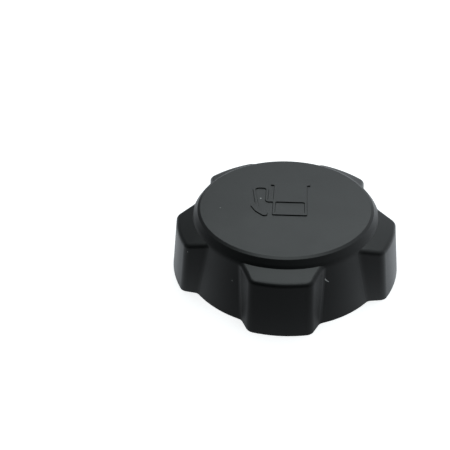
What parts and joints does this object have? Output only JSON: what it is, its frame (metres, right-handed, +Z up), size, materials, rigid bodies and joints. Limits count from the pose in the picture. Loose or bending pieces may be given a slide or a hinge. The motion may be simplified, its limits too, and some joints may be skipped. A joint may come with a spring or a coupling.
{
  "type": "fuel cap",
  "caption": "Screw-on fuel cap: a shallow black moulded cap with grip lobes round a flat crown, threaded inside, with a flat rubber gasket seated under the crown.",
  "frame": {"origin": "on the cap's axis, in the plane of its open rim", "axes": "+Z up along the cap's axis through the crown, -Y through the middle of one grip lobe"},
  "size_m": [0.0846, 0.0816, 0.0241],
  "materials": {
    "cap_plastic": "satin black moulded plastic with a fine even grain",
    "gasket_rubber": "matte black rubber"
  },
  "bodies": {
    "root": {"cap": "cap_plastic", "gasket": "gasket_rubber"}
  },
  "joints": []
}
